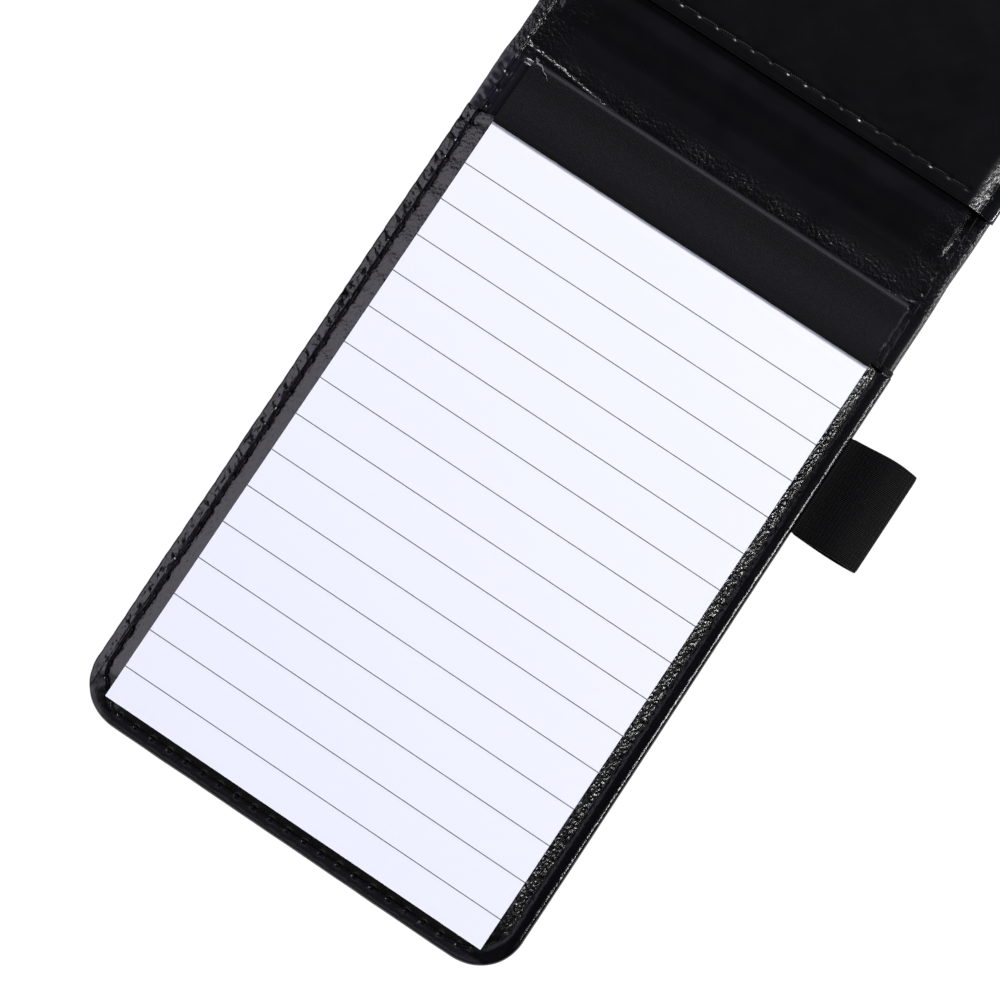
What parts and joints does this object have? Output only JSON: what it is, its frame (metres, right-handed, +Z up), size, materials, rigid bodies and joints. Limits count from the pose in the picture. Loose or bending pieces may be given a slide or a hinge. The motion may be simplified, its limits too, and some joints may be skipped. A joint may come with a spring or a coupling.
{
  "type": "pocket notebook",
  "caption": "Flip-top pocket notebook: sewn leather-look cover that folds over the head, ruled tear-off pad held in the back cover's pocket, and an elastic pen loop on the right edge.",
  "frame": {"origin": "centre of the back cover's outer face (its underside)", "axes": "+X to the right across the page, +Y from the page's foot to its head and on over the opened front cover, +Z up out of the page"},
  "size_m": [0.0918, 0.263, 0.0084],
  "materials": {
    "cover_leather": "black fine-grained leather, semi-gloss",
    "lining_leather": "black smooth lining leather, semi-gloss",
    "sewing_thread": "black polyester thread",
    "cover_board": "dense grey board",
    "pad_greyboard": "grey chipboard",
    "ruled_paper": "smooth white writing paper with faint rulings",
    "binding_tape": "matte black woven binding tape",
    "elastic_webbing": "black ribbed elastic webbing"
  },
  "bodies": {
    "back_cover": {"back_cover_skin": "cover_leather", "back_board": "cover_board", "back_lining": "lining_leather", "back_pocket_panel": "cover_leather", "back_edge_thread": "sewing_thread", "back_edge_thread_outer": "sewing_thread", "pen_loop": "elastic_webbing", "pad_backing_board": "pad_greyboard", "sheet_block": "ruled_paper", "binding_tape": "binding_tape"},
    "spine": {"spine_skin": "cover_leather", "spine_lining": "lining_leather", "spine_thread_left": "sewing_thread", "spine_thread_right": "sewing_thread", "spine_thread_left_outer": "sewing_thread", "spine_thread_right_outer": "sewing_thread"},
    "front_cover": {"front_cover_skin": "cover_leather", "front_board": "cover_board", "front_lining": "lining_leather", "front_pocket_panel": "cover_leather", "front_hem_thread": "sewing_thread", "front_edge_thread": "sewing_thread", "front_edge_thread_outer": "sewing_thread"},
    "first_sheet": {"top_sheet": "ruled_paper"}
  },
  "joints": [
    {"name": "spine_fold", "type": "hinge", "parent": "back_cover", "child": "spine", "pos_m": [0, 0.0637, 0.00068], "axis": [-1, 0, 0], "range_deg": [-90, 90]},
    {"name": "cover_fold", "type": "hinge", "parent": "spine", "child": "front_cover", "pos_m": [0, 0.0753, 0.00068], "axis": [-1, 0, 0], "range_deg": [-90, 90]},
    {"name": "sheet_flip", "type": "hinge", "parent": "back_cover", "child": "first_sheet", "pos_m": [0, 0.0501, 0.00797], "axis": [-1, 0, 0], "range_deg": [0, 165], "deforming": ["top_sheet"]}
  ],
  "couplings": [
    {"joint": "spine_fold", "follows": "cover_fold", "ratio": 1}
  ]
}
